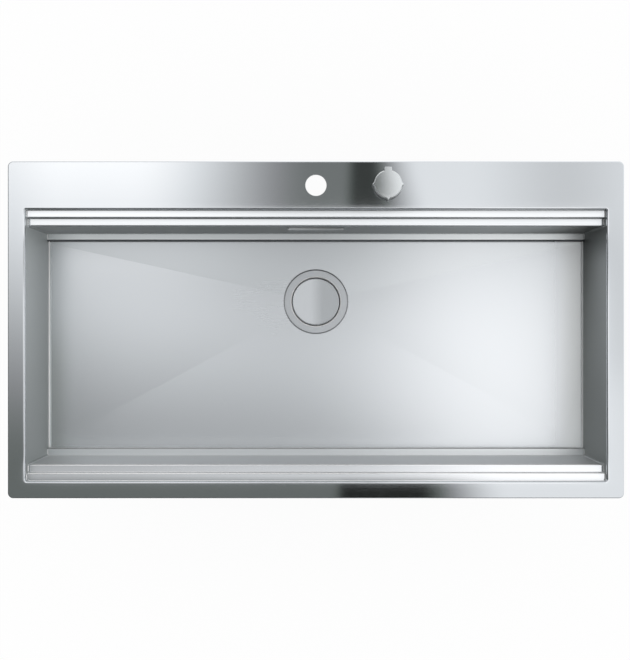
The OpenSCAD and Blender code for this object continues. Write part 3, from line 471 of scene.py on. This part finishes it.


# steel in all its finishes: long grain, slow cloudiness, softly rounded and slightly worn edges
# with painted shade darkening its creases and where other pieces stand close
def steel(name, look, grainAt=None, shape=None):
    material, tree = newMaterial(name)
    place = tree.place()
    grainPlace = grainAt(tree, place) if grainAt else place
    coarse = tree.noise(tree.scaled(grainPlace, look["grain"]), 1.0, 3.0, 0.6)
    fine = tree.noise(tree.scaled(grainPlace, look["fineGrain"]), 1.0, 2.0, 0.6)
    cloud = tree.noise(place, look["cloud"], 3.0, 0.5)
    rounded, turned = tree.roundedEdge(look["edge"])
    worn = tree.step(turned, *look["wearFrom"]) * look["wear"]
    rough = look["rough"] + (coarse - 0.5) * look["roughSpread"] + (cloud - 0.5) * look["cloudSpread"]
    normal = tree.bump(coarse, look["grainDepth"], rounded)
    normal = tree.bump(fine, look["fineDepth"], normal)
    if "dish" in look:
        away = tree.parts(grainPlace)[1]
        normal = tree.bump(away * away * look["dish"], 1.0, normal)
    deep = tuple(c * look["deep"] for c in look["tint"])
    share = look["grainShare"]
    colour = tree.blendColour(coarse * share + cloud * (1 - share), deep, look["tint"])
    colour = tree.blendColour(worn, colour, grey(look["wornShade"]))
    if "lean" in look:
        normal = tree.leaned(normal, (*look["lean"], 0.0))
    if shape:
        colour, rough, normal = shape(tree, place, colour, rough, normal)
    # painted shade: the colour darkens where creases and nearby pieces close the steel in
    paintedCreaseShade = tree.crease(look["creaseReach"], look["creaseAlone"]) * look["crease"]
    if "creaseFront" in look:
        paintedCreaseShade = paintedCreaseShade * tree.eased(tree.parts(place)[1], look["creaseBehind"], look["creaseFront"], 1.0)
    colour = tree.blendColour(paintedCreaseShade, colour, grey(look["creaseShade"]))
    sockets = {
        "Base Color": colour,
        "Metallic": 1.0,
        "Roughness": (rough + worn * look["wornRough"]).clipped(),
        "Normal": normal,
        "Specular Tint": grey(look["edgeShine"]),
    }
    tree.finish(tree.add("ShaderNodeBsdfPrincipled", None, sockets))
    return material


def fromAxis(x, y, axis):
    dx, dy = x - axis[0], y - axis[1]
    return dx, dy, (dx * dx + dy * dy) ** 0.5


radianWide = 0.05  # how much grain one radian of a turned piece takes, in metres


# grain that runs round an upright axis, as a lathe leaves it
def turnedRound(axis):
    def grainAt(tree, place):
        x, y, z = tree.parts(place)
        dx, dy, away = fromAxis(x, y, axis)
        return tree.joined(dy.angleFrom(dx) * radianWide, away, z)

    return grainAt


# moulded plastic and rubber: faint flow clouds, fine matt tooth, paler rubbed edges
def plastic(name, look):
    material, tree = newMaterial(name)
    place = tree.place()
    tooth = tree.noise(place, look["tooth"], 2.0, 0.6)
    flow = tree.noise(tree.scaled(place, look["flowStretch"]), look["flow"], 4.0, 0.55)
    rounded, turned = tree.roundedEdge(look["edge"])
    worn = tree.step(turned, *look["wearFrom"])
    deep = tuple(c * look["deep"] for c in look["tint"])
    colour = tree.blendColour(flow, deep, look["tint"])
    colour = tree.blendColour(worn * look["wear"], colour, grey(look["wornShade"]))
    rough = look["rough"] + (flow - 0.5) * look["roughSpread"] + (tooth - 0.5) * look["toothSpread"]
    sockets = {
        "Base Color": colour,
        "Roughness": rough.clipped(),
        "Normal": tree.bump(tooth, look["toothDepth"], rounded),
        "Specular IOR Level": look["shine"],
    }
    tree.finish(tree.add("ShaderNodeBsdfPrincipled", None, sockets))
    return material


def dress(material, *names):
    for name in names:
        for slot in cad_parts[name].material_slots:
            slot.material = material


def numbered(name, count):
    return [f"{name}_{i + 1}" for i in range(count)]


def axisOf(name):
    return [sum(corner[i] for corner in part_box(name)) / 2 for i in (0, 1)]


# sheet steel, brushed along its length; grain is how often it changes in a metre along x, y and z
rimLook = {
    "tint": (0.775, 0.81, 0.845),
    "deep": 0.95,
    "rough": 0.06,
    "grain": (2.2, 900.0, 900.0),
    "fineGrain": (9.0, 2600.0, 2600.0),
    "grainShare": 0.6,
    "grainDepth": 0.000003,
    "fineDepth": 0.000002,
    "roughSpread": 0.05,
    "cloud": 5.0,
    "cloudSpread": 0.04,
    "edge": 0.0007,
    "wear": 0.12,
    "wearFrom": (0.01, 0.12),
    "wornShade": 0.9,
    "wornRough": 0.3,
    "edgeShine": 1.0,
    "creaseReach": 0.003,
    "creaseAlone": False,
    "creaseShade": 0.05,
    "crease": 0.7,
}
bowlLook = dict(
    rimLook,
    rough=0.27,
    deep=0.98,
    roughSpread=0.005,
    cloudSpread=0.02,
    grainDepth=0.0000004,
    fineDepth=0.0000008,
    edgeShine=0.6,
    creaseAlone=True,
    creaseShade=0.03,
    crease=0.85,
    creaseFront=0.1,  # what of it the front half keeps
    creaseBehind=(-0.05, 0.05),
)
endLook = dict(
    bowlLook,
    grain=(900.0, 2.2, 900.0),
    fineGrain=(2600.0, 9.0, 2600.0),
    wear=0.0,
    creaseAlone=False,
    crease=0.0,
)
# heights of the bowl's flats, and where its rear half begins
levelLook = {
    "ledges": (-0.0215, -0.007, 0.001),
    "foot": (-0.1855, -0.1825, 0.001),
    "footTop": (-0.184, -0.182),
    "floor": (-0.193, -0.19),
    "behind": (-0.05, 0.05),
}
# how a normal tells the kinds of surface apart
facingLook = {
    "flat": (0.5, 0.8),
    "wall": (0.05, 0.3),
    "weld": (0.2, 0.9, 0.08),
    "fillet": (0.3, 0.97, 0.05),
    "fold": (0.25, 0.95, 0.05),
    "rearPlane": (0.01, 0.025),
    "opposite": (-0.7, 0.7),
    "outside": (0.05, 0.12),
}
ledgeLook = {"rough": 0.08, "tint": (0.82, 0.85, 0.88)}
# the foot ledge's tint behind is a painted shade, darker than its tint in front
footLook = {"rough": 0.3, "rear": (0.83, 0.87, 0.885), "front": (0.88, 0.915, 0.935), "slope": 0.05}
# painted highlights on the front ledges' folds, painted shade on the rear ledges by their inner fold
foldLook = {
    "tint": (1.0, 1.0, 1.0),
    "rough": 0.3,
    "rearFoldShade": 0.16,
    "foldShadeTo": (0.05, 0.6),
    "ledgeWide": 0.013,
    "rearFrom": 0.2,
}
# painted shade: dark lines at the foot of the ledges and a dark ring round the waste
jointLook = {
    "shade": (0.03, 0.03, 0.035),
    "rear": (0.159, 0.1625),
    "rearStrength": 0.66,
    "front": (-0.2146, -0.2132),
    "frontStrength": 0.6,
    "soft": 0.0006,
    "ring": (0.0568, 0.0584),
    "ringStrength": (0.08, 0.6),  # at the sides, and how much more in front and behind
}
# the floor's margins and seams along the end walls, and its rear plane
# painted shade on the left margin and the rear plane, painted highlights on the right margin and seams
marginLook = {
    "from": (0.43, 0.475),
    "rightRough": 0.45,
    "rightHighlight": (0.95, 0.985, 1.0),
    "rightSlope": 0.06,
    "leftShade": (0.62, 0.65, 0.66),
    "leftTo": (-0.1, 0.06),
    "rearPlane": (0.71, 0.745, 0.775),
    "seamFrom": (0.4785, 0.4795),
    "seamRough": 0.85,
    "seamHighlight": (0.95, 0.98, 0.99),
}
# an end wall has four painted shades: its foot in front and behind, then its top in front and behind
# painted shade darkens the rear wall, the welds and the right rear corner, and the front wall is painted
# paler
wallLook = {
    "rough": 0.5,
    "rear": (0.52, 0.54, 0.545),
    "rearLeft": (0.62, 0.64, 0.645),
    "rearLeftTo": (-0.35, -0.1),
    "rearRight": (0.68, 0.7, 0.705),
    "rearRightFrom": (0.05, 0.3),
    "rearEndShade": (0.3, 0.32, 0.31),
    "rearEndFrom": (0.3, 0.48),
    "rearEndBelow": (-0.19, 0.0),
    "front": (0.85, 0.87, 0.88),
    "left": ((0.57, 0.595, 0.59), (0.64, 0.665, 0.66), (0.58, 0.605, 0.6), (0.84, 0.87, 0.865)),
    "right": ((0.4, 0.42, 0.415), (0.2, 0.21, 0.205), (0.455, 0.475, 0.47), (0.66, 0.685, 0.68)),
    "footFrom": (-0.06, 0.2),
    "topFrom": (-0.2, 0.2),
    "upFrom": (-0.18, 0.01),
    "weld": (0.1, 0.11, 0.11),
    "weldStrength": 0.4,
    "cornerAcross": (0.38, 0.47),
    "cornerAlong": (0.11, 0.165),
    "cornerStrength": 0.55,
    "outside": (0.5, 0.515, 0.52),
    "filletHighlight": (1.0, 1.0, 1.0),
    "filletRough": 0.5,
}
wasteAxis = axisOf("waste_flange")


def endWall(tree, y, z, look, side):
    footFront, footRear, topFront, topRear = look[side]
    foot = tree.blendColour(tree.step(y, *look["footFrom"]), footFront, footRear)
    top = tree.blendColour(tree.step(y, *look["topFrom"]), topFront, topRear)
    return tree.blendColour(tree.step(z, *look["upFrom"]), foot, top)


# painted shade and light on the walls, and the mill finish outside
def wallColour(tree, look, x, y, z, across, along):
    ends = tree.blendColour(
        tree.step(across, *facingLook["opposite"]),
        endWall(tree, y, z, look, "right"),
        endWall(tree, y, z, look, "left"),
    )
    rear = tree.blendColour(tree.step(x, *look["rearLeftTo"]), look["rearLeft"], look["rear"])
    rear = tree.blendColour(tree.step(x, *look["rearRightFrom"]), rear, look["rearRight"])
    # painted shade low on the rear wall's right end
    rearEndShade = tree.step(x, *look["rearEndFrom"]) * (1 - tree.step(z, *look["rearEndBelow"]))
    rear = tree.blendColour(rearEndShade, rear, look["rearEndShade"])
    longWalls = tree.blendColour(tree.step(along, *facingLook["opposite"]), rear, look["front"])
    walls = tree.blendColour(tree.step(abs(along), *facingLook["flat"]), ends, longWalls)
    # painted shade in the upright weld corners and in the right rear corner
    onWeld = tree.band(abs(along), *facingLook["weld"])
    walls = tree.blendColour(onWeld * look["weldStrength"], walls, look["weld"])
    corner = tree.step(x, *look["cornerAcross"]) * tree.step(y, *look["cornerAlong"])
    walls = tree.blendColour(corner * look["cornerStrength"], walls, look["weld"])
    outside = tree.step(along * y + across * x, *facingLook["outside"])
    return tree.blendColour(outside, walls, look["outside"])


# painted shade in the joints, heavier in front of and behind the waste's ring
def paintedJointShade(tree, look, x, y, z):
    soft = look["soft"]
    joint = tree.band(y, *look["rear"], soft) * look["rearStrength"]
    joint = joint + tree.band(y, *look["front"], soft) * look["frontStrength"]
    joint = joint * (1 - tree.step(z, *levelLook["footTop"]))
    _, dy, away = fromAxis(x, y, wasteAxis)
    sides, more = look["ringStrength"]
    return joint.most(tree.band(away, *look["ring"], soft) * (sides + abs(dy) / away * more))


# the bowl's finishes: ledges ground as finely as the rim, satin floor, matt walls; painted shade and light
# on top
def ledgesAndWalls(tree, place, colour, rough, normal):
    x, y, z = tree.parts(place)
    across, along, up = tree.parts(tree.normal())
    flat = tree.step(up, *facingLook["flat"])
    behind = tree.step(y, *levelLook["behind"])
    onLedge = tree.band(z, *levelLook["ledges"]) * flat
    onFoot = tree.band(z, *levelLook["foot"]) * flat
    onFloor = (1 - tree.step(z, *levelLook["floor"])) * flat
    onFold = tree.band(up, *facingLook["fold"]) * (1 - behind)
    onWall = 1 - tree.step(abs(up), *facingLook["wall"])
    under = tree.step(-up, *facingLook["flat"])
    rightMargin = tree.step(x, *marginLook["from"]) * onFloor
    leftMargin = tree.step(-x, *marginLook["from"]) * onFloor * (1 - tree.step(y, *marginLook["leftTo"]))
    seam = tree.step(abs(x), *marginLook["seamFrom"]) * onFloor
    # painted shade across each rear ledge, darkest at its inner fold
    overLedge = (foldLook["rearFrom"] - y) / foldLook["ledgeWide"]
    nearFold = 1 - tree.step(overLedge.fraction(), *foldLook["foldShadeTo"])
    paintedFoldShade = nearFold * onLedge * behind * foldLook["rearFoldShade"]
    # most of these coats are painted shade or painted highlight
    coats = [
        (tree.step(-along, *facingLook["rearPlane"]) * onFloor, marginLook["rearPlane"]),
        (rightMargin, marginLook["rightHighlight"]),
        (leftMargin, marginLook["leftShade"]),
        (onLedge, ledgeLook["tint"]),
        (onFoot, tree.blendColour(behind, footLook["front"], footLook["rear"])),
        (onFold, foldLook["tint"]),
        (seam, marginLook["seamHighlight"]),
        (paintedFoldShade, grey(0.0)),
        (onWall, wallColour(tree, wallLook, x, y, z, across, along)),
        (paintedJointShade(tree, jointLook, x, y, z), jointLook["shade"]),
        (under, wallLook["outside"]),
    ]
    for mask, coat in coats:
        colour = tree.blendColour(mask, colour, coat)
    finishes = [
        (onFold, foldLook["rough"]),
        (onLedge, ledgeLook["rough"]),
        (onFoot, footLook["rough"]),
        (rightMargin, marginLook["rightRough"]),
        (seam, marginLook["seamRough"]),
        (onWall.most(under), wallLook["rough"]),
    ]
    for mask, finish in finishes:
        rough = tree.blend(mask, rough, finish)
    # the floor's right margin falls a little towards the waste, the rear foot ledge towards the floor
    inward = rightMargin * -marginLook["rightSlope"]
    forward = onFoot * behind * -footLook["slope"]
    return colour, rough, tree.leaned(normal, tree.joined(inward, forward, 0.0))


# painted highlights on the end walls' welds along the floor and the ledges
def endWallsAndWelds(tree, place, colour, rough, normal):
    colour, rough, normal = ledgesAndWalls(tree, place, colour, rough, normal)
    onFillet = tree.band(tree.parts(tree.normal())[2], *facingLook["fillet"])
    colour = tree.blendColour(onFillet, colour, wallLook["filletHighlight"])
    return colour, tree.blend(onFillet, rough, wallLook["filletRough"]), normal


def dressSheets():
    dress(steel("brushedRim", rimLook), "deck")
    dress(steel("brushedBowl", bowlLook, None, ledgesAndWalls), "bowl_trough")
    dress(steel("brushedEnds", endLook, None, endWallsAndWelds), "bowl_end_left", "bowl_end_right")


dressSheets()
print("sheets dressed")

# pieces that show in and on the sink
fittingLook = dict(
    rimLook,
    tint=(0.74, 0.775, 0.81),
    rough=0.3,
    grain=(60.0, 1400.0, 1400.0),
    fineGrain=(200.0, 3600.0, 3600.0),
    cloud=14.0,
    edge=0.0005,
    wear=0.25,
)
innerLook = dict(fittingLook, rough=0.26, wear=0.4)
# the flange is turned, and the wall of its cup is made rough and painted pale, a painted light in the gap
wasteLook = dict(
    fittingLook,
    tint=(0.67, 0.7, 0.73),
    rough=0.42,
    crease=0.0,
    cupWithin=(0.0462, 0.0452),
    cupLight=(1.0, 1.0, 1.0),
    cupRough=0.7,
)


def cupWall(tree, place, colour, rough, normal):
    x, y, _ = tree.parts(place)
    inner = tree.step(fromAxis(x, y, wasteAxis)[2], *wasteLook["cupWithin"])
    colour = tree.blendColour(inner, colour, wasteLook["cupLight"])
    return colour, tree.blend(inner, rough, wasteLook["cupRough"]), normal


# the cap is slightly hollow and satin, with its right half painted darker, a painted reflection
capLook = dict(
    fittingLook,
    tint=(0.83, 0.865, 0.9),
    rough=0.18,
    crease=0.0,
    dish=0.35,
    shadedTint=(0.59, 0.62, 0.645),
    shadedFrom=(-0.014, 0.016),
)


# painted reflection: the cap's right half darker
def capHalves(tree, place, colour, rough, normal):
    share = tree.step(tree.parts(place)[0], *capLook["shadedFrom"])
    return tree.blendColour(share, colour, capLook["shadedTint"]), rough, normal


# the knob's top is lapped and slightly domed, its bevel blasted pale, and painted shade darkens its sides
knobLook = dict(
    fittingLook,
    tint=(0.9, 0.94, 0.96),
    rough=0.11,
    grain=(8.0, 700.0, 700.0),
    grainDepth=0.000002,
    fineDepth=0.000002,
    lean=(0.0175, 0.0),
    dish=-0.18,
    bevelTo=(0.85, 0.95),
    bevelRough=0.6,
    bevelTint=(0.8, 0.83, 0.84),
    sideTo=(0.2, 0.45),
    sideShade=(0.3, 0.31, 0.31),
)


def knobSides(tree, place, colour, rough, normal):
    up = tree.parts(tree.normal())[2]
    bevel = 1 - tree.step(up, *knobLook["bevelTo"])
    # painted shade on the knob's sides
    side = 1 - tree.step(up, *knobLook["sideTo"])
    colour = tree.blendColour(bevel, colour, knobLook["bevelTint"])
    colour = tree.blendColour(side, colour, knobLook["sideShade"])
    return colour, tree.blend(bevel, rough, knobLook["bevelRough"]), normal


# the overflow's cover is pressed; painted shade darkens it, and a painted highlight pales its left end
coverLook = dict(
    fittingLook,
    tint=(0.42, 0.435, 0.44),
    crease=0.3,
    paleTint=(0.7, 0.72, 0.73),
    paleFrom=(0.04, -0.045),
)


def coverHighlight(tree, place, colour, rough, normal):
    share = tree.step(tree.parts(place)[0], *coverLook["paleFrom"])
    return tree.blendColour(share, colour, coverLook["paleTint"]), rough, normal


def dressFittings():
    roundWaste, roundKnob = turnedRound(wasteAxis), turnedRound(axisOf("knob_base"))
    dress(steel("turnedFlange", wasteLook, roundWaste, cupWall), "waste_flange")
    dress(steel("satinCap", capLook, roundWaste, capHalves), "strainer_cap")
    dress(steel("satinKnob", knobLook, roundKnob, knobSides), "control_knob")
    dress(steel("turnedBase", fittingLook, roundKnob), "knob_base", "knob_spindle")
    dress(steel("pressedCover", coverLook, None, coverHighlight), "overflow_cover")
    dress(steel("drawnBasket", innerLook, roundWaste), "strainer_basket", "strainer_stem", "lift_pin")
    dress(steel("screwSteel", innerLook), "flange_screws", "overflow_screws", "lift_lever")


dressFittings()
print("fittings dressed")

# what holds the rim down: mill steel brackets, zinc plated screws and jaws
bracketLook = dict(
    rimLook,
    tint=(0.62, 0.63, 0.65),
    rough=0.38,
    grain=(30.0, 500.0, 30.0),
    cloud=30.0,
    wear=0.3,
)
zincLook = dict(
    rimLook,
    tint=(0.74, 0.77, 0.82),
    deep=0.8,
    rough=0.34,
    grain=(220.0, 220.0, 220.0),
    fineGrain=(1500.0, 1500.0, 1500.0),
    grainDepth=0.00002,
    roughSpread=0.22,
    cloud=90.0,
    wear=0.35,
)


def dressClamps():
    dress(steel("millSteel", bracketLook), "clamp_brackets", "tap_stiffener")
    names = numbered("clamp_screw", 7) + numbered("clamp_jaw", 7)
    dress(steel("zincPlate", zincLook), *names)


dressClamps()
print("clamps dressed")

rubberLook = {
    "tint": (0.028, 0.028, 0.03),
    "deep": 0.6,
    "tooth": 1800.0,
    "toothDepth": 0.00006,
    "toothSpread": 0.06,
    "flow": 40.0,
    "flowStretch": (1.0, 1.0, 0.4),
    "rough": 0.72,
    "roughSpread": 0.2,
    "edge": 0.0004,
    "wear": 0.35,
    "wearFrom": (0.01, 0.15),
    "wornShade": 0.09,
    "shine": 0.4,
}
padLook = dict(
    rubberLook,
    tint=(0.16, 0.165, 0.17),
    tooth=420.0,
    toothDepth=0.0005,
    rough=0.85,
    wornShade=0.25,
)
whiteLook = dict(
    rubberLook,
    tint=(0.83, 0.83, 0.81),
    deep=0.93,
    tooth=1500.0,
    toothDepth=0.00004,
    flow=22.0,
    rough=0.36,
    roughSpread=0.16,
    edge=0.0006,
    wear=0.3,
    wornShade=0.9,
    shine=0.5,
)
blackLook = dict(whiteLook, tint=(0.03, 0.03, 0.032), deep=0.7, rough=0.42, wornShade=0.12)


def dressSoftAndMoulded():
    rubber, white = plastic("blackRubber", rubberLook), plastic("whitePlastic", whiteLook)
    dress(rubber, "rim_gasket", "overflow_gasket", "overflow_seals", "knob_washer", "lever_socket")
    dress(rubber, "flange_seal", "waste_gasket", "outlet_seal", "strainer_seal")
    dress(plastic("padRubber", padLook), "sound_pads")
    dress(white, "waste_body", "outlet_nut", "outlet_tailpiece", "lever_nut", "knob_nut")
    dress(white, "overflow_housing", "overflow_pipe", "overflow_nuts")
    black = plastic("blackPlastic", blackLook)
    dress(black, "waste_cable_gland", "cable_drum", "drum_casing", "knob_cable_gland")


dressSoftAndMoulded()
print("seals, pads and mouldings dressed")
